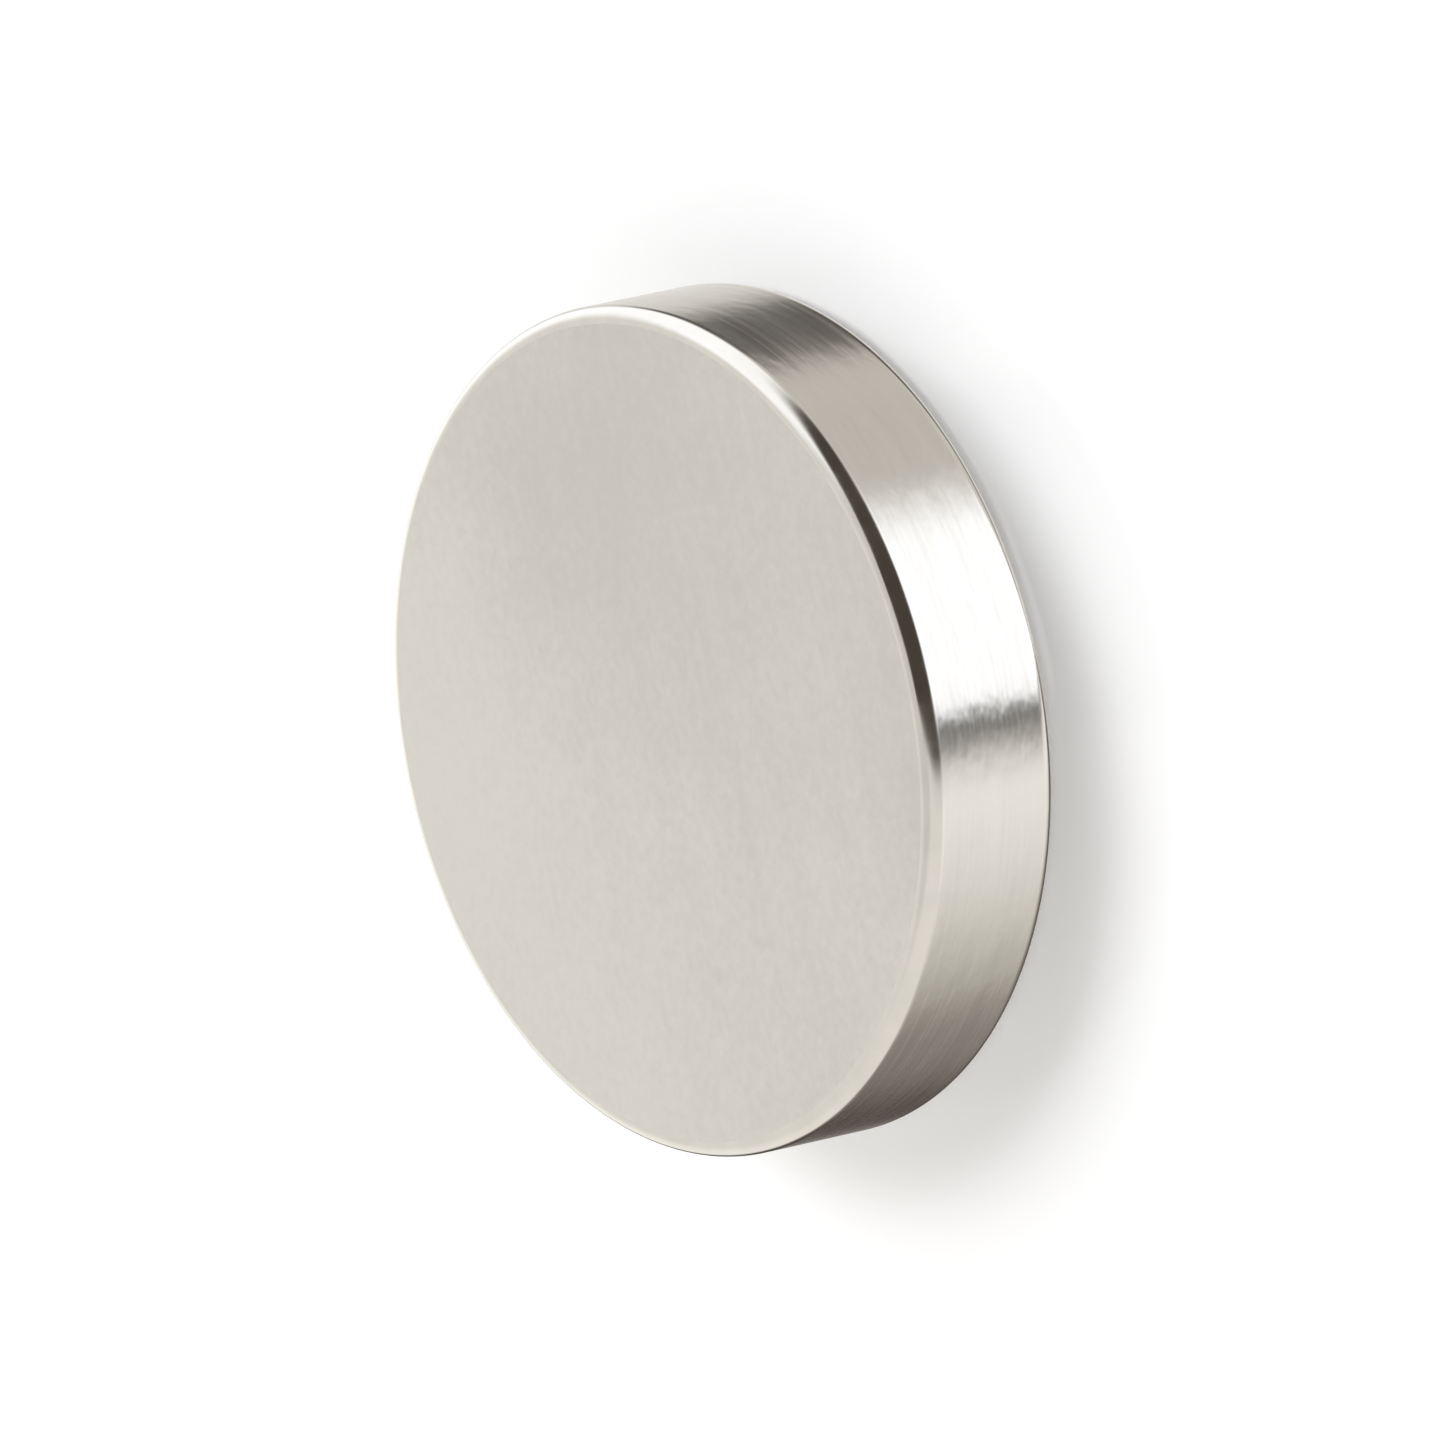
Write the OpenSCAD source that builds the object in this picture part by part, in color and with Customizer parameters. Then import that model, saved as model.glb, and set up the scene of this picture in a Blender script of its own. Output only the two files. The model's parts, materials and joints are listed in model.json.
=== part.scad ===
// Disc magnet: a sintered neodymium disc with a thin nickel plating, in millimetres.
// It lies on one of its two flat pole faces. The origin is the centre of that face,
// and +Z runs along the disc's axis to the other pole face.

/* [Disc] */
// Diameter over the ground rim
disc_d = 8; // [4:0.5:30]
// Thickness from one pole face to the other
disc_t = 1.5; // [1:0.25:6]
// Radius that tumbling leaves round both edges
edge_r = 0.16; // [0.05:0.01:0.4]

/* [Finish] */
// Colour of the plating
plating_colour = "#D4D0C6"; // ["#D4D0C6":Nickel, "#D9B65C":Gold, "#55565A":Black nickel]

/* [Hidden] */
rim_r = disc_d / 2;
// Segments of a full circle, fine enough for the small round of the edge
round_segments = 96;

// What tumbling wears off the lower outer corner of the half section:
// the corner's square, less the quarter round that is left in it.
module worn_corner() {
    difference() {
        translate([rim_r - edge_r, 0]) square(edge_r);
        translate([rim_r - edge_r, edge_r]) circle(edge_r, $fn = round_segments);
    }
}

// Half of the disc's cross-section, from the axis out to the rim.
module half_section() {
    difference() {
        square([rim_r, disc_t]);
        worn_corner();
        translate([0, disc_t]) mirror([0, 1]) worn_corner();
    }
}

module disc_magnet() {
    color(plating_colour)
        rotate_extrude($fn = round_segments)
            half_section();
}

disc_magnet();
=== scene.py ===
"""Disc magnet: one nickel-plated disc on a plain pale floor, in soft studio light.

The disc lies on a pole face, its axis is +Z and every length is in metres.
"""
import functools
import json
import math

import bpy
import numpy as np
from mathutils import Matrix, Vector


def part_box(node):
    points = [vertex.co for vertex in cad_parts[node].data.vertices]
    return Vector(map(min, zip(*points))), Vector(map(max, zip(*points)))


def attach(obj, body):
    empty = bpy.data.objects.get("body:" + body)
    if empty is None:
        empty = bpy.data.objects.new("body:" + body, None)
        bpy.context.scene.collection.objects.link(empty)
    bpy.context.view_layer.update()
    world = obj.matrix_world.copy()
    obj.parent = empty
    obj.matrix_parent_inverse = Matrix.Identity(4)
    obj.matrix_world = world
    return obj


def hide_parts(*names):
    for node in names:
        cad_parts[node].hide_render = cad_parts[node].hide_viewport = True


bl_info = {
    "name": "Disc magnet",
    "version": (1, 0, 0),
    "blender": (4, 5, 0),
    "location": "3D View > Sidebar > Disc Magnet",
    "description": "Builds a nickel-plated disc magnet and the studio that it is shown in",
    "category": "Object",
}

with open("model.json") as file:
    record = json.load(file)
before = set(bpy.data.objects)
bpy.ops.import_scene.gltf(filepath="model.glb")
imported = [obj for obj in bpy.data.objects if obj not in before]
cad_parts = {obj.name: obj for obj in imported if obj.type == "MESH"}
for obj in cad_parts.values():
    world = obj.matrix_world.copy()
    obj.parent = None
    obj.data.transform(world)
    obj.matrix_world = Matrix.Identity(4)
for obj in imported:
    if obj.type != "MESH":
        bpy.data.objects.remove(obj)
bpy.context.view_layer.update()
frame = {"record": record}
NODE = "disc_magnet"
BODY = "root"
MM = 0.001

DISC_LOW, DISC_HIGH = (Vector(corner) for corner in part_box(NODE))
# The rim's wall is the straight stretch that the record's rim mount gives.
RIM_MOUNT = next(mount for mount in frame["record"]["mounts"] if mount["name"] == "rim")
RIM_WALL = RIM_MOUNT["dims"]["length_mm"] * MM
DISC_T = DISC_HIGH.z - DISC_LOW.z
DISC_R = (DISC_HIGH.x - DISC_LOW.x) / 2
EDGE_R = (DISC_T - RIM_WALL) / 2

# Rings of the mesh from the axis out to the edge, round one edge and up the rim
FACE_RINGS = 10
EDGE_RINGS = 14
RIM_RINGS = 8
# Material slots of the disc
FACE, RIM, EDGE = 0, 1, 2

# Marks in the plating, each a noise, and one slow noise of painted light and shade: features per
# metre along X, Y and Z, how many finer layers lie in it, and how strong each layer is beside the
# one before it.
MOTTLE = ((240, 240, 240), 5.0, 0.62)
SLICING = ((180, 5200, 1000), 3.0, 0.5)
# The slow cloud below is no mark in the plating but painted light and shade, a slow shading across
# the pole faces.
PAINTED_SHADE_CLOUD = ((105, 105, 105), 1.0, 0.5)
GRAIN = ((11000, 11000, 11000), 2.0, 0.5)
GRINDING = ((260, 260, 26000), 3.0, 0.6)
BANDS = ((700, 700, 5200), 2.0, 0.5)
CHATTER = ((2700, 2700, 5600), 2.0, 0.5)
DENTS = ((2600, 2600, 2600), 3.0, 0.5)
# How far the slow cloud of painted light and shade is moved over the disc, in its own features. Its
# place is picked so that the pole face comes out darker towards +X and lighter towards -X, as
# falling light would leave it.
PAINTED_SHADE_SHIFT = (8.3, 25.2, 0)
# The values that most of a noise lies between
NOISE_SPAN = (0.3, 0.7)

# Weights of the mottle and the slicing marks in the face's satin
SATIN_WEIGHTS = (0.82, 0.18)
# Weights of the satin, the cloud of painted light and shade, and the grain in the face's tone, and
# the values that the tone lies between
TONE_WEIGHTS = (0.45, -0.55, 0.24)
TONE_SPAN = (-0.13, 0.27)
# Weights of the grinding marks and the bands in the rim's tone
RIM_WEIGHTS = (0.6, 0.4)
# Weights in the relief: grain and slicing marks on a face, grinding marks and chatter on the rim
FACE_RELIEF = (1.0, 0.4)
RIM_RELIEF = (0.05, 1.0)
# Strength and depth of the relief
FACE_BUMP = (0.25, 0.015 * MM)
RIM_BUMP = (1.0, 0.005 * MM)
EDGE_BUMP = (0.15, 0.006 * MM)
# The darkest and the brightest marks, as levels of the nickel's own colour; on the pole faces the
# span also takes in the painted light and shade of the slow cloud
FACE_LEVELS = (0.88, 1.04)
RIM_LEVELS = (0.97, 1.03)
EDGE_LEVELS = (1.0, 1.06)
# What the marks add to the roughness, from their lowest value to their highest
FACE_SHEEN = (0.02, -0.02)
RIM_SHEEN = (-0.03, 0.03)
EDGE_SHEEN = (-0.03, 0.05)
# The rim's gloss is drawn out across its marks: how far, and the turn that sets its direction
RIM_STREAK = 0.85
QUARTER_TURN = 0.25

# What a smooth step gives at the two ends of its span
RISING = (0.0, 1.0)
FALLING = (1.0, 0.0)
WHITE = (1.0, 1.0, 1.0)

# Levels of the surround, as (degrees from the camera's side towards +X, red, green, blue).
# STRIP lies below the floor's level. It is what the rim mirrors when it is seen from above.
STRIP = (
    (-180, 0.47, 0.44, 0.41),
    (-159, 0.08, 0.065, 0.06),
    (-142, 0.11, 0.09, 0.08),
    (-125, 0.26, 0.24, 0.22),
    (-102, 0.36, 0.34, 0.32),
    (-91, 0.61, 0.60, 0.56),
    (-79, 0.76, 0.755, 0.725),
    (-66, 0.95, 0.945, 0.925),
    (-51, 1.10, 1.10, 1.12),
    (-34, 1.24, 1.25, 1.26),
    (-25, 0.98, 0.98, 0.97),
    (-18.5, 0.34, 0.34, 0.34),
    (-16.5, 0.23, 0.23, 0.24),
    (-13.2, 0.23, 0.23, 0.24),
    (-10, 1.74, 1.80, 1.94),
    (38, 1.74, 1.80, 1.94),
    (54, 0.83, 0.815, 0.79),
    (98, 0.77, 0.75, 0.72),
    (104, 0.15, 0.14, 0.13),
    (130, 0.12, 0.11, 0.10),
    (141, 0.87, 0.86, 0.83),
    (180, 0.95, 0.94, 0.92),
)
# LOW is the foot of the walls. It is what the edges mirror.
LOW = (
    (-180, 1.30, 1.29, 1.26),
    (-150, 1.15, 1.14, 1.12),
    (-112, 1.04, 1.03, 1.01),
    (-34, 1.01, 1.0, 0.98),
    (-18, 0.80, 0.80, 0.80),
    (76, 0.80, 0.80, 0.80),
    (88, 1.42, 1.46, 1.52),
    (120, 1.47, 1.52, 1.62),
    (150, 1.50, 1.55, 1.64),
    (180, 1.30, 1.29, 1.26),
)
# HIGH is the top of the walls. It is what the pole faces mirror.
HIGH = (
    (-180, 0.98, 0.976, 0.955),
    (-135, 0.98, 0.976, 0.955),
    (-112, 1.02, 1.01, 0.99),
    (-34, 1.01, 1.0, 0.98),
    (-18, 0.80, 0.80, 0.80),
    (76, 0.80, 0.80, 0.80),
    (88, 1.42, 1.46, 1.52),
    (130, 1.47, 1.52, 1.62),
    (152, 0.98, 0.976, 0.955),
    (180, 0.98, 0.976, 0.955),
)
CEILING_COLOUR = (0.82, 0.815, 0.81)
FLAG_COLOUR = (0.085, 0.073, 0.062)
# Degrees above the floor between which the walls begin, go from LOW to HIGH, and meet the ceiling
STRIP_RISE = (-24, -12)
WALLS_RISE = (4, 30)
CEILING_RISE = (52, 72)
# The flag beside the camera: its soft sides in degrees round the disc, and its soft foot and top in
# degrees above the floor
FLAG_START, FLAG_END = (-28, -18), (70, 80)
FLAG_FOOT, FLAG_TOP = (-33, -13), (76, 88)

FLOOR_HALF = 2.0
# The floor lies this much below the disc, so that the two surfaces never share a plane.
FLOOR_DROP = 0.004 * MM
# The camera sees from its distance divided by this to its distance times this.
CLIP_RANGE = 100


class DiscMagnetSizes(bpy.types.PropertyGroup):
    """Sizes of the disc and how finely its surface is drawn."""

    radius: bpy.props.FloatProperty(
        name="Radius",
        description="Radius of the ground rim",
        default=DISC_R,
        unit="LENGTH",
        precision=5,
    )
    thickness: bpy.props.FloatProperty(
        name="Thickness",
        description="Distance between the pole faces",
        default=DISC_T,
        unit="LENGTH",
        precision=5,
    )
    edge_radius: bpy.props.FloatProperty(
        name="Edge radius",
        description="Round that tumbling leaves between a face and the rim",
        default=EDGE_R,
        unit="LENGTH",
        precision=5,
    )
    turns: bpy.props.IntProperty(
        name="Steps round the disc",
        description="Faces in one turn about the axis",
        default=576,
        min=96,
    )


class DiscMagnetFinish(bpy.types.PropertyGroup):
    """Colour and polish of the plating."""

    nickel: bpy.props.FloatVectorProperty(
        name="Nickel",
        description="Colour of the nickel plating",
        default=(0.66, 0.63, 0.575),
        subtype="COLOR",
        size=3,
    )
    face_metallic: bpy.props.FloatProperty(
        name="Face metallic",
        description="How far the pole faces mirror as bare metal does",
        default=0.6,
        subtype="FACTOR",
    )
    face_roughness: bpy.props.FloatProperty(
        name="Face roughness",
        description="Satin of the pole faces",
        default=0.5,
        subtype="FACTOR",
    )
    rim_roughness: bpy.props.FloatProperty(
        name="Rim roughness",
        description="Sheen of the ground rim",
        default=0.2,
        subtype="FACTOR",
    )
    edge_roughness: bpy.props.FloatProperty(
        name="Edge roughness",
        description="Polish of the tumbled edges",
        default=0.14,
        subtype="FACTOR",
    )


class DiscMagnetStudio(bpy.types.PropertyGroup):
    """The camera, the floor and the lamp of the studio."""

    camera_elevation: bpy.props.FloatProperty(
        name="Camera elevation",
        description="Angle of the view above the pole faces",
        default=math.radians(37.4),
        subtype="ANGLE",
    )
    camera_roll: bpy.props.FloatProperty(
        name="Camera roll",
        description="Turn of the camera about its view, which stands the disc on its rim",
        default=math.radians(102.2),
        subtype="ANGLE",
    )
    field_of_view: bpy.props.FloatProperty(
        name="Field of view",
        description="Angle that the long lens sees",
        default=math.radians(2.5),
        subtype="ANGLE",
    )
    frame_share: bpy.props.FloatProperty(
        name="Frame share",
        description="Share of the frame that the disc's diameter takes",
        default=0.6,
        subtype="FACTOR",
    )
    floor_colour: bpy.props.FloatVectorProperty(
        name="Floor",
        description="Colour of the floor",
        default=(0.9, 0.9, 0.9),
        subtype="COLOR",
        size=3,
    )
    floor_gloss: bpy.props.FloatProperty(
        name="Floor gloss",
        description="Share of the floor's light that it mirrors",
        default=0.05,
        subtype="FACTOR",
    )
    floor_roughness: bpy.props.FloatProperty(
        name="Floor roughness",
        description="How soft the mirror image in the floor is",
        default=0.12,
        subtype="FACTOR",
    )
    floor_lift: bpy.props.FloatProperty(
        name="Floor lift",
        description="Light that the floor gives by itself, so that it comes out white",
        default=0.13,
        min=0.0,
    )
    lamp_turn: bpy.props.FloatProperty(
        name="Lamp turn",
        description="Turn of the lamp from the camera's side towards +X",
        default=math.radians(135),
        subtype="ANGLE",
    )
    lamp_rise: bpy.props.FloatProperty(
        name="Lamp rise",
        description="Angle of the lamp above the floor",
        default=math.radians(50),
        subtype="ANGLE",
    )
    lamp_distance: bpy.props.FloatProperty(
        name="Lamp distance",
        description="Distance from the disc to the lamp",
        default=0.5,
        unit="LENGTH",
    )
    lamp_size: bpy.props.FloatProperty(
        name="Lamp size",
        description="Side of the lamp's square softbox",
        default=0.25,
        unit="LENGTH",
    )
    lamp_power: bpy.props.FloatProperty(
        name="Lamp power",
        description="Power of the lamp",
        default=1.0,
        unit="POWER",
    )


def disc_profile(radius, thickness, edge_radius):
    """Half of the disc's section as radii, heights and a material slot for each stretch.

    From the middle of the lower face out along it, round the lower edge by a quarter circle, up the
    rim, round the upper edge by a quarter circle and back in along the upper face.
    """
    face_r = radius - edge_radius
    out = np.linspace(0.0, face_r, FACE_RINGS + 1)
    quarter = np.linspace(0.0, math.pi / 2, EDGE_RINGS + 1)[1:]
    up = np.linspace(edge_radius, thickness - edge_radius, RIM_RINGS + 1)[1:]
    radii = np.concatenate(
        [
            out,
            face_r + edge_radius * np.sin(quarter),
            np.full(RIM_RINGS, radius),
            face_r + edge_radius * np.cos(quarter),
            out[-2::-1],
        ]
    )
    heights = np.concatenate(
        [
            np.zeros(FACE_RINGS + 1),
            edge_radius * (1 - np.cos(quarter)),
            up,
            thickness - edge_radius * (1 - np.sin(quarter)),
            np.full(FACE_RINGS, thickness),
        ]
    )
    slots = np.repeat(
        [FACE, EDGE, RIM, EDGE, FACE],
        [FACE_RINGS, EDGE_RINGS, RIM_RINGS, EDGE_RINGS, FACE_RINGS],
    )
    return radii, heights, slots


def turned(turns, out, up):
    """A half section at each step of a whole turn about +Z, one row for each point.

    What lies out from the axis and up along it goes to out times cosine, out times sine, and up.
    """
    angle = np.arange(turns) * (2 * math.pi / turns)
    x = np.outer(np.cos(angle), out)
    y = np.outer(np.sin(angle), out)
    z = np.broadcast_to(up, x.shape)
    return np.stack([x, y, z], axis=-1).reshape(-1, 3)


def revolved_mesh(name, radii, heights, slots, turns):
    """A closed mesh: the profile turned about +Z.

    Each step of the turn has one row of points, without the profile's two ends, which are single
    points on the axis. Quads join each row to the next, and triangles close the two poles.
    """
    rings = len(radii) - 2
    poles = [[0, 0, heights[0]], [0, 0, heights[-1]]]
    points = np.concatenate([turned(turns, radii[1:-1], heights[1:-1]), poles])
    here = np.arange(turns) * rings
    after = np.roll(here, -1)
    step = np.arange(rings - 1)
    a = here[:, None] + step
    b = after[:, None] + step
    quads = np.stack([a, b, b + 1, a + 1], axis=-1).reshape(-1, 4)
    last = rings - 1
    low_pole = np.full(turns, turns * rings)
    low = np.stack([after, here, low_pole], axis=-1)
    high = np.stack([here + last, after + last, low_pole + 1], axis=-1)
    corners = np.concatenate([quads.ravel(), low.ravel(), high.ravel()])
    sizes = np.concatenate([np.full(len(quads), 4), np.full(2 * turns, 3)])
    starts = np.concatenate([[0], np.cumsum(sizes)[:-1]])
    slot_of_face = np.concatenate([np.tile(slots[1:-1], turns), np.full(2 * turns, slots[0])])
    mesh = bpy.data.meshes.new(name)
    mesh.vertices.add(len(points))
    mesh.vertices.foreach_set("co", points.astype(np.float32).ravel())
    mesh.loops.add(len(corners))
    mesh.loops.foreach_set("vertex_index", corners.astype(np.int32))
    mesh.polygons.add(len(sizes))
    mesh.polygons.foreach_set("loop_start", starts.astype(np.int32))
    mesh.polygons.foreach_set("material_index", slot_of_face.astype(np.int32))
    mesh.polygons.foreach_set("use_smooth", np.ones(len(sizes), bool))
    mesh.update(calc_edges=True)
    mesh.validate()
    return mesh


def set_true_normals(mesh, radii, heights, edge_radius, turns):
    """Gives each point the section's true normal, so that the faces stay flat up to their edge.

    On a face the normal is the axis, on the rim it points straight out, and on an edge it runs from
    the centre of the quarter circle through the point.
    """
    r, z = radii[1:-1], heights[1:-1]
    centre_r = radii.max() - edge_radius
    centre_z = np.clip(z, edge_radius, heights.max() - edge_radius)
    out = np.maximum(r - centre_r, 0.0)
    up = z - centre_z
    length = np.hypot(out, up)
    rows = turned(turns, out / length, up / length)
    normals = np.concatenate([rows, [[0, 0, -1], [0, 0, 1]]])
    mesh.normals_split_custom_set_from_vertices(normals.astype(np.float32))


class NodeSheet:
    """Short calls for adding nodes to one shader."""

    def __init__(self, tree):
        tree.nodes.clear()
        self.nodes = tree.nodes
        self.links = tree.links

    def add(self, kind, values=None, **settings):
        """A node of that kind, with attributes from settings and inputs from values."""
        node = self.nodes.new(kind)
        for key, value in settings.items():
            setattr(node, key, value)
        for key, value in (values or {}).items():
            self.feed(node.inputs[key], value)
        return node

    def feed(self, socket, value):
        """Links a socket to value where value is a socket, and sets it otherwise."""
        if isinstance(value, bpy.types.NodeSocket):
            self.links.new(value, socket)
        else:
            socket.default_value = value

    def math(self, operation, first, second=0.0):
        """The result of one sum on two numbers."""
        return self.add("ShaderNodeMath", {0: first, 1: second}, operation=operation).outputs[0]

    def joined(self, operation, values):
        """The result of one sum on all the values, from the first to the last."""
        return functools.reduce(lambda first, second: self.math(operation, first, second), values)

    def total(self, values, weights):
        """The sum of the values, each times its weight."""
        parts = [self.math("MULTIPLY", value, weight) for value, weight in zip(values, weights)]
        return self.joined("ADD", parts)

    def between(self, value, span, results=RISING):
        """value mapped smoothly from the ends of span to the two results, and held outside."""
        (low, high), (at_low, at_high) = span, results
        node = self.add(
            "ShaderNodeMapRange",
            {
                "Value": value,
                "From Min": low,
                "From Max": high,
                "To Min": at_low,
                "To Max": at_high,
            },
            interpolation_type="SMOOTHSTEP",
        )
        return node.outputs["Result"]

    def noise(self, mark, shift=(0, 0, 0)):
        """One kind of mark as a noise over the disc's own place, moved by shift features."""
        stretch, detail, roughness = mark
        place = self.add("ShaderNodeTexCoord").outputs["Object"]
        placed = self.add(
            "ShaderNodeMapping", {"Vector": place, "Location": shift, "Scale": stretch}
        )
        node = self.add(
            "ShaderNodeTexNoise",
            {"Vector": placed.outputs[0], "Scale": 1.0, "Detail": detail, "Roughness": roughness},
        )
        return node.outputs[0]

    def ramp(self, turn, stops):
        """The colour at a turn from 0 to 1, blended between stops from -180 to 180 degrees."""
        node = self.add("ShaderNodeValToRGB", {"Fac": turn})
        elements = node.color_ramp.elements
        # A new stop may start anywhere, because each gets its own place below.
        while len(elements) < len(stops):
            elements.new(0.5)
        for element, (degrees, *colour) in zip(elements, stops):
            element.position = (degrees + 180) / 360
            element.color = rgba(colour)
        return node.outputs[0]

    def mixed(self, factor, first, second):
        """The colour between first and second."""
        node = self.add("ShaderNodeMix", data_type="RGBA")
        self.feed(node.inputs["Factor"], factor)
        self.feed(node.inputs["A"], first)
        self.feed(node.inputs["B"], second)
        return node.outputs["Result"]

    def tinted(self, value, span, colour, levels):
        """A colour that goes from its dark level to its bright one as value crosses the span."""
        dark, bright = levels
        return self.mixed(self.between(value, span), rgba(colour, dark), rgba(colour, bright))

    def bumped(self, height, strength, depth):
        """The surface's normal, tilted as if height stood out by up to depth."""
        values = {"Height": height, "Strength": strength, "Distance": depth}
        return self.add("ShaderNodeBump", values).outputs[0]

    def show(self, shader, output="ShaderNodeOutputMaterial"):
        """Puts a shader on the surface."""
        self.add(output, {"Surface": shader.outputs[0]})


def rgba(colour, level=1.0):
    """A colour at a level, with full alpha."""
    return (colour[0] * level, colour[1] * level, colour[2] * level, 1.0)


def shifted(middle, sheen):
    """A roughness at each end of the marks: the middle plus what they add there."""
    return (middle + sheen[0], middle + sheen[1])


def new_material(name):
    """A material and its empty sheet of nodes."""
    material = bpy.data.materials.new(name)
    material.use_nodes = True
    return material, NodeSheet(material.node_tree)


def satin_face(finish):
    """Pole face: satin with a mottle, a fine grain and faint straight marks, under a slow cloud of
    painted light and shade.
    """
    material, sheet = new_material("satin_face")
    mottle = sheet.noise(MOTTLE)
    slicing = sheet.noise(SLICING)
    grain = sheet.noise(GRAIN)
    satin = sheet.total((mottle, slicing), SATIN_WEIGHTS)
    # The slow cloud in the tone is painted light and shade: the face darker towards +X and lighter
    # towards -X.
    tone = sheet.total((satin, sheet.noise(PAINTED_SHADE_CLOUD, PAINTED_SHADE_SHIFT), grain), TONE_WEIGHTS)
    roughness = shifted(finish.face_roughness, FACE_SHEEN)
    relief = sheet.total((grain, slicing), FACE_RELIEF)
    shader = sheet.add(
        "ShaderNodeBsdfPrincipled",
        {
            "Base Color": sheet.tinted(tone, TONE_SPAN, finish.nickel, FACE_LEVELS),
            "Metallic": finish.face_metallic,
            "Roughness": sheet.between(satin, NOISE_SPAN, roughness),
            "Normal": sheet.bumped(relief, *FACE_BUMP),
        },
    )
    sheet.show(shader)
    return material


def ground_rim(finish):
    """Rim: brighter than the faces, with fine grinding marks that run round the disc."""
    material, sheet = new_material("ground_rim")
    grinding = sheet.noise(GRINDING)
    tone = sheet.total((grinding, sheet.noise(BANDS)), RIM_WEIGHTS)
    roughness = shifted(finish.rim_roughness, RIM_SHEEN)
    relief = sheet.total((grinding, sheet.noise(CHATTER)), RIM_RELIEF)
    round_axis = sheet.add("ShaderNodeTangent", direction_type="RADIAL", axis="Z")
    shader = sheet.add(
        "ShaderNodeBsdfPrincipled",
        {
            "Base Color": sheet.tinted(tone, NOISE_SPAN, finish.nickel, RIM_LEVELS),
            "Metallic": 1.0,
            "Roughness": sheet.between(grinding, NOISE_SPAN, roughness),
            "Anisotropic": RIM_STREAK,
            "Anisotropic Rotation": QUARTER_TURN,
            "Tangent": round_axis.outputs[0],
            "Normal": sheet.bumped(relief, *RIM_BUMP),
        },
    )
    sheet.show(shader)
    return material


def tumbled_edge(finish):
    """Edge: the smoothest part, polished by tumbling, with tiny dents."""
    material, sheet = new_material("tumbled_edge")
    dents = sheet.noise(DENTS)
    roughness = shifted(finish.edge_roughness, EDGE_SHEEN)
    shader = sheet.add(
        "ShaderNodeBsdfPrincipled",
        {
            "Base Color": sheet.tinted(dents, NOISE_SPAN, finish.nickel, EDGE_LEVELS),
            "Metallic": 1.0,
            "Roughness": sheet.between(dents, NOISE_SPAN, roughness),
            "Normal": sheet.bumped(dents, *EDGE_BUMP),
        },
    )
    sheet.show(shader)
    return material


class DISCMAGNET_OT_disc(bpy.types.Operator):
    """Build the nickel-plated disc"""

    bl_idname = "discmagnet.disc"
    bl_label = "Disc"
    bl_options = {"REGISTER", "UNDO"}

    def execute(self, context):
        sizes = context.scene.disc_magnet_sizes
        finish = context.scene.disc_magnet_finish
        radii, heights, slots = disc_profile(sizes.radius, sizes.thickness, sizes.edge_radius)
        mesh = revolved_mesh("plated_disc", radii, heights, slots, sizes.turns)
        set_true_normals(mesh, radii, heights, sizes.edge_radius, sizes.turns)
        for make in (satin_face, ground_rim, tumbled_edge):
            mesh.materials.append(make(finish))
        disc = bpy.data.objects.new("plated_disc", mesh)
        context.scene.collection.objects.link(disc)
        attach(disc, BODY)
        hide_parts(NODE)
        return {"FINISHED"}


def studio_surround(world):
    """The studio as the disc mirrors it; straight into the camera it is plain white.

    Pale walls stand round the disc, with a grey ceiling above and a dark flag beside the camera.
    Below the floor's level comes the strip that a rim seen from above mirrors: a bright softbox, a
    thin dark gap beside it, and paper that falls off to grey. A direction's turn is the arctangent
    of X over minus Y, and its rise is the arcsine of Z.
    """
    world.use_nodes = True
    sheet = NodeSheet(world.node_tree)
    way = sheet.add("ShaderNodeTexCoord").outputs["Generated"]
    part = sheet.add("ShaderNodeSeparateXYZ", {"Vector": way})
    ahead = sheet.math("MULTIPLY", part.outputs["Y"], -1.0)
    across = sheet.math("ARCTAN2", part.outputs["X"], ahead)
    turn = sheet.math("ADD", sheet.math("DIVIDE", across, 2 * math.pi), 0.5)
    degrees = sheet.math("MULTIPLY", across, 180 / math.pi)
    rise = sheet.math("MULTIPLY", sheet.math("ARCSINE", part.outputs["Z"]), 180 / math.pi)

    low, high = sheet.ramp(turn, LOW), sheet.ramp(turn, HIGH)
    walls = sheet.mixed(sheet.between(rise, WALLS_RISE), low, high)
    room = sheet.mixed(sheet.between(rise, CEILING_RISE), walls, rgba(CEILING_COLOUR))
    room = sheet.mixed(sheet.between(rise, STRIP_RISE, FALLING), room, sheet.ramp(turn, STRIP))
    sides = [
        sheet.between(degrees, FLAG_START),
        sheet.between(degrees, FLAG_END, FALLING),
        sheet.between(rise, FLAG_FOOT),
        sheet.between(rise, FLAG_TOP, FALLING),
    ]
    surround = sheet.mixed(sheet.joined("MULTIPLY", sides), room, rgba(FLAG_COLOUR))
    path = sheet.add("ShaderNodeLightPath")
    seen = sheet.mixed(path.outputs["Is Camera Ray"], surround, rgba(WHITE))
    sheet.show(sheet.add("ShaderNodeBackground", {"Color": seen}), "ShaderNodeOutputWorld")
    # The surround is broad and even, so it needs no map of where its light comes from.
    world.cycles.sampling_method = "NONE"


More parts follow.
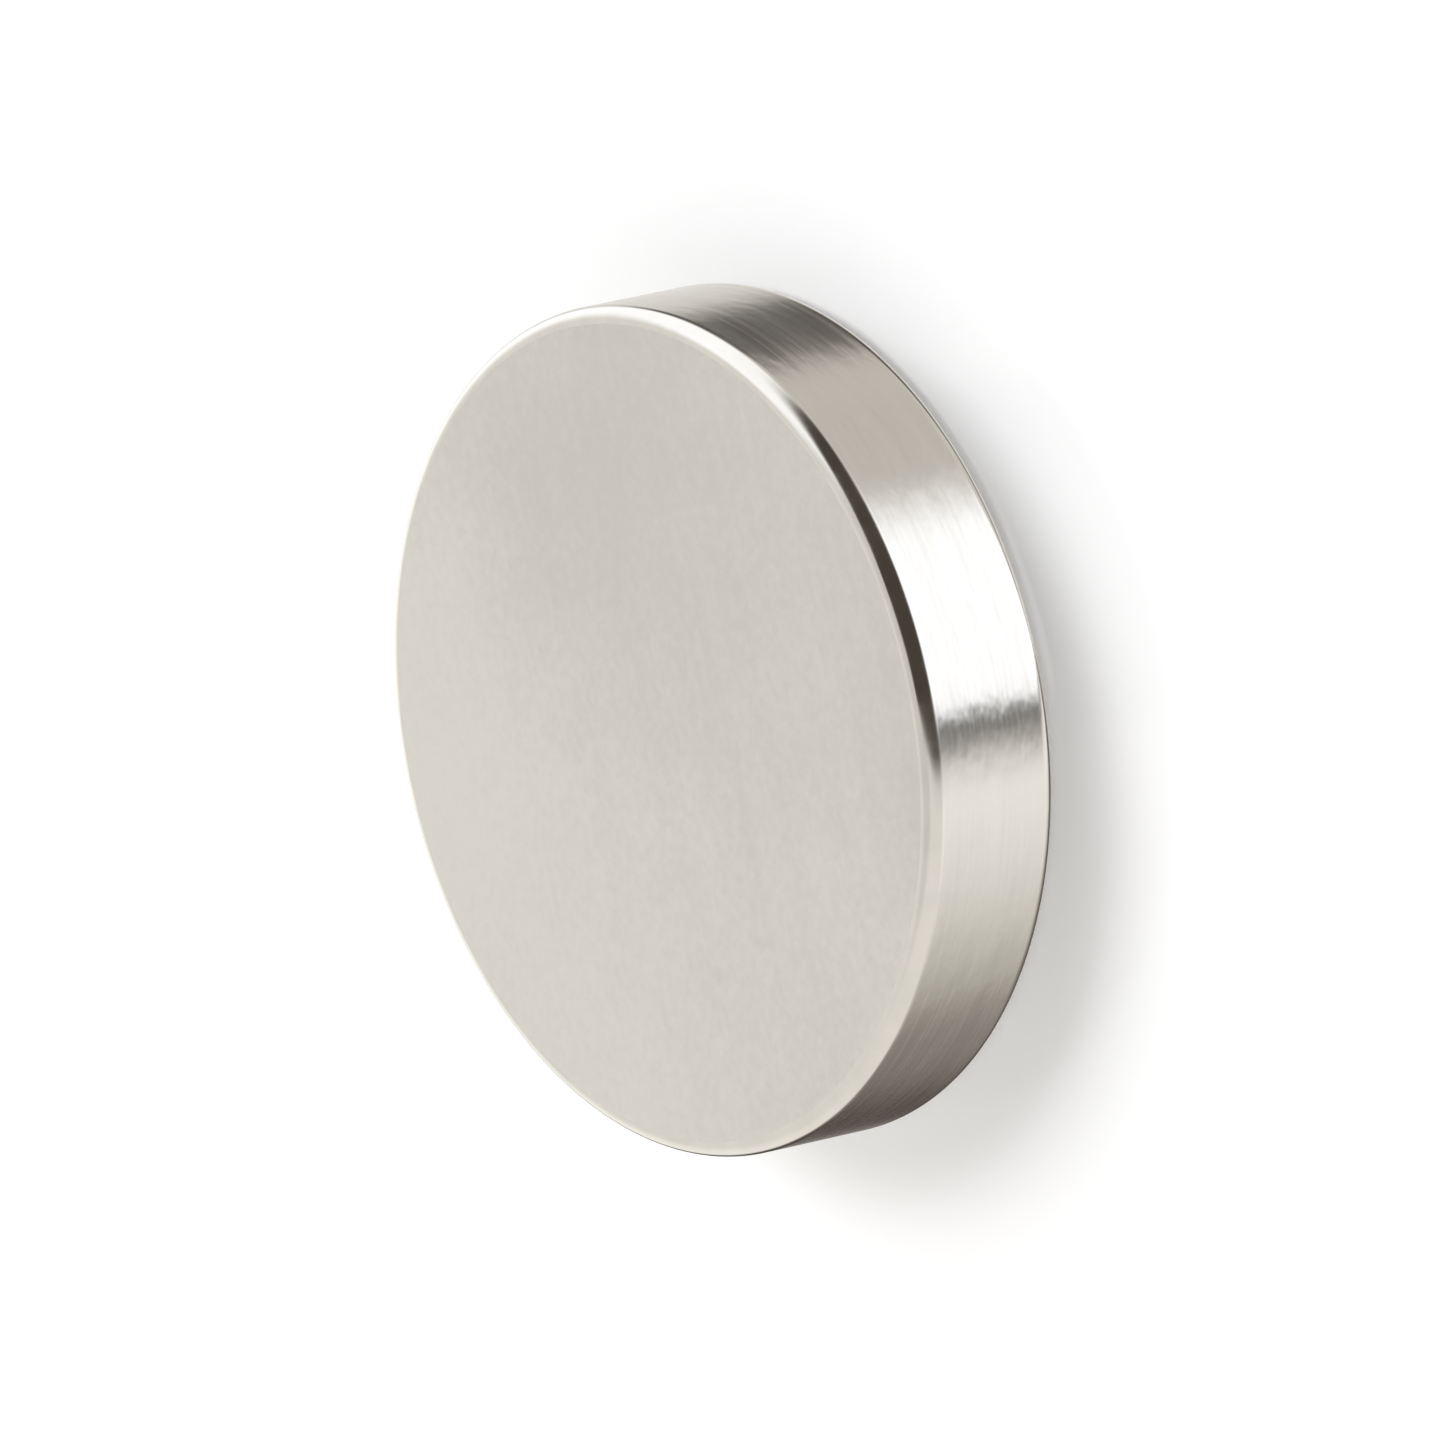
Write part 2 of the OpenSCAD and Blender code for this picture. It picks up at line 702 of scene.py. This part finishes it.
def white_floor_material(studio):
    """White floor that takes the disc's shadow and a faint mirror image, and comes out white.

    It gives way to mirror rays, so that the disc mirrors what lies below the floor's level, and to a
    camera below it.
    """
    material, sheet = new_material("white_floor")
    paint = sheet.add("ShaderNodeBsdfDiffuse", {"Color": rgba(studio.floor_colour)})
    gloss = sheet.add(
        "ShaderNodeBsdfAnisotropic", {"Color": rgba(WHITE), "Roughness": studio.floor_roughness}
    )
    coated = sheet.add(
        "ShaderNodeMixShader", {0: studio.floor_gloss, 1: paint.outputs[0], 2: gloss.outputs[0]}
    )
    lift = sheet.add("ShaderNodeEmission", {"Color": rgba(WHITE), "Strength": studio.floor_lift})
    lit = sheet.add("ShaderNodeAddShader", {0: coated.outputs[0], 1: lift.outputs[0]})
    clear = sheet.add("ShaderNodeBsdfTransparent")
    path = sheet.add("ShaderNodeLightPath")
    side = sheet.add("ShaderNodeNewGeometry")
    open_to = sheet.math("MAXIMUM", path.outputs["Is Glossy Ray"], side.outputs["Backfacing"])
    floor = sheet.add("ShaderNodeMixShader", {0: open_to, 1: lit.outputs[0], 2: clear.outputs[0]})
    sheet.show(floor)
    return material


def add_floor(context, studio):
    """A flat square of floor under the disc."""
    half = FLOOR_HALF
    corners = [(-half, -half, 0), (half, -half, 0), (half, half, 0), (-half, half, 0)]
    mesh = bpy.data.meshes.new("floor")
    mesh.from_pydata(corners, [], [(0, 1, 2, 3)])
    mesh.materials.append(white_floor_material(studio))
    floor = bpy.data.objects.new("floor", mesh)
    floor.location.z = -FLOOR_DROP
    context.scene.collection.objects.link(floor)


def aimed(place, target, roll=0.0):
    """Matrix of a lamp or camera at place that looks at target, rolled about its view."""
    turn = (target - place).to_track_quat("-Z", "Y").to_matrix().to_4x4()
    return Matrix.Translation(place) @ turn @ Matrix.Rotation(roll, 4, "Z")


def around(turn, rise, distance):
    """A place at that distance, turned from -Y towards +X and raised above the floor."""
    flat = math.cos(rise)
    return Vector((math.sin(turn) * flat, -math.cos(turn) * flat, math.sin(rise))) * distance


def add_lamp(context, studio):
    """A square softbox aimed at the disc, kept out of mirror images and the camera's sight."""
    light = bpy.data.lights.new("key", "AREA")
    light.size = studio.lamp_size
    light.energy = studio.lamp_power
    lamp = bpy.data.objects.new("key", light)
    place = around(studio.lamp_turn, studio.lamp_rise, studio.lamp_distance)
    lamp.matrix_world = aimed(place, Vector((0, 0, 0)))
    lamp.visible_camera = False
    lamp.visible_glossy = False
    context.scene.collection.objects.link(lamp)


def add_camera(context, sizes, studio):
    """The long lens above the disc, rolled so that the disc stands on its rim in the picture.

    The lens is half of the sensor over the tangent of half the field of view. The distance is the
    disc's radius over its share of the frame and over the same tangent.
    """
    data = bpy.data.cameras.new("camera")
    half_view = math.tan(studio.field_of_view / 2)
    data.lens = data.sensor_width / 2 / half_view
    middle = Vector((0, 0, sizes.thickness / 2))
    reach = sizes.radius / studio.frame_share / half_view
    data.clip_start = reach / CLIP_RANGE
    data.clip_end = reach * CLIP_RANGE
    camera = bpy.data.objects.new("camera", data)
    place = middle + around(0.0, studio.camera_elevation, reach)
    camera.matrix_world = aimed(place, middle, -studio.camera_roll)
    context.scene.collection.objects.link(camera)
    context.scene.camera = camera


class DISCMAGNET_OT_studio(bpy.types.Operator):
    """Set up the surround, the floor, the lamp and the camera"""

    bl_idname = "discmagnet.studio"
    bl_label = "Studio"
    bl_options = {"REGISTER", "UNDO"}

    def execute(self, context):
        studio = context.scene.disc_magnet_studio
        world = bpy.data.worlds.new("studio")
        context.scene.world = world
        studio_surround(world)
        add_floor(context, studio)
        add_lamp(context, studio)
        add_camera(context, context.scene.disc_magnet_sizes, studio)
        context.scene.view_settings.view_transform = "Standard"
        return {"FINISHED"}


class DISCMAGNET_PT_sidebar(bpy.types.Panel):
    """Sizes, finish and studio of the disc magnet"""

    bl_idname = "DISCMAGNET_PT_sidebar"
    bl_label = "Disc magnet"
    bl_space_type = "VIEW_3D"
    bl_region_type = "UI"
    bl_category = "Disc Magnet"

    def draw(self, context):
        for group in GROUPS:
            settings = getattr(context.scene, group)
            for key in settings.bl_rna.properties.keys():
                if key not in ("rna_type", "name"):
                    self.layout.prop(settings, key)
        for operator in OPERATORS:
            self.layout.operator(operator.bl_idname)


GROUPS = {
    "disc_magnet_sizes": DiscMagnetSizes,
    "disc_magnet_finish": DiscMagnetFinish,
    "disc_magnet_studio": DiscMagnetStudio,
}
OPERATORS = (DISCMAGNET_OT_disc, DISCMAGNET_OT_studio)


def register():
    """Registers the groups of sizes and finishes, then the operators and the panel."""
    for name, group in GROUPS.items():
        bpy.utils.register_class(group)
        setattr(bpy.types.Scene, name, bpy.props.PointerProperty(type=group))
    for cls in (*OPERATORS, DISCMAGNET_PT_sidebar):
        bpy.utils.register_class(cls)


def unregister():
    """Takes back what register did, last first."""
    for cls in (DISCMAGNET_PT_sidebar, *reversed(OPERATORS)):
        bpy.utils.unregister_class(cls)
    for name, group in reversed(list(GROUPS.items())):
        delattr(bpy.types.Scene, name)
        bpy.utils.unregister_class(group)


def main():
    """Builds the disc and its studio."""
    register()
    bpy.ops.discmagnet.disc()
    bpy.ops.discmagnet.studio()


if __name__ == "__main__":
    main()
